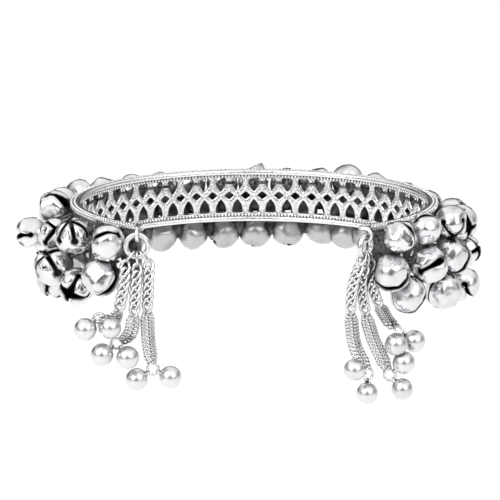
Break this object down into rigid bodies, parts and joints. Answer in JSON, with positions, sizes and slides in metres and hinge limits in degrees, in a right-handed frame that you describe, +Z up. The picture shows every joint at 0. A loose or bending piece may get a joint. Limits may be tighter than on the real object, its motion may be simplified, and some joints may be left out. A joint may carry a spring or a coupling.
{
  "type": "cuff bracelet",
  "caption": "Open oval cuff bracelet in silver-coloured metal: a pierced lattice band hung with jingle bells, and a chain tassel with ball ends at each side of the opening.",
  "frame": {"origin": "on the wrist's axis, at half the height of the band and at the centre of the band's ellipse", "axes": "+Z up along the wrist's axis, +X to the right as seen from the opening, -Y out through the opening"},
  "size_m": [0.081, 0.0614, 0.0309],
  "materials": {
    "band": "cast and polished white metal with a darkened patina left in the lattice and between the grains of the rims",
    "bells": "bright plated sheet metal, slightly dented, dark inside the slits",
    "chain": "bright plated wire, darkened between the links",
    "balls": "smooth satin-bright plated metal"
  },
  "bodies": {
    "root": {"band": "band", "bell_left_1": "bells", "bell_left_2": "bells", "bell_left_3": "bells", "bell_left_4": "bells", "bell_left_5": "bells", "bell_left_6": "bells", "bell_left_7": "bells", "bell_left_8": "bells", "bell_left_9": "bells", "bell_left_10": "bells", "bell_left_11": "bells", "bell_right_1": "bells", "bell_right_2": "bells", "bell_right_3": "bells", "bell_right_4": "bells", "bell_right_5": "bells", "bell_right_6": "bells", "bell_right_7": "bells", "bell_right_8": "bells", "bell_right_9": "bells", "bell_right_10": "bells", "bell_right_11": "bells", "bell_right_12": "bells", "bell_right_13": "bells", "bell_right_14": "bells", "bells_back": "bells", "jump_ring_left": "chain", "chain_left_1": "chain", "fine_chain_left_1": "chain", "ball_left_1a": "balls", "ball_left_1b": "balls", "chain_left_2": "chain", "fine_chain_left_2": "chain", "ball_left_2a": "balls", "ball_left_2b": "balls", "chain_left_3": "chain", "fine_chain_left_3": "chain", "ball_left_3a": "balls", "ball_left_3b": "balls", "jump_ring_right": "chain", "chain_right_1": "chain", "fine_chain_right_1": "chain", "ball_right_1a": "balls", "ball_right_1b": "balls", "chain_right_2": "chain", "fine_chain_right_2": "chain", "ball_right_2a": "balls", "ball_right_2b": "balls", "chain_right_3": "chain", "fine_chain_right_3": "chain", "ball_right_3a": "balls", "ball_right_3b": "balls"}
  },
  "joints": []
}
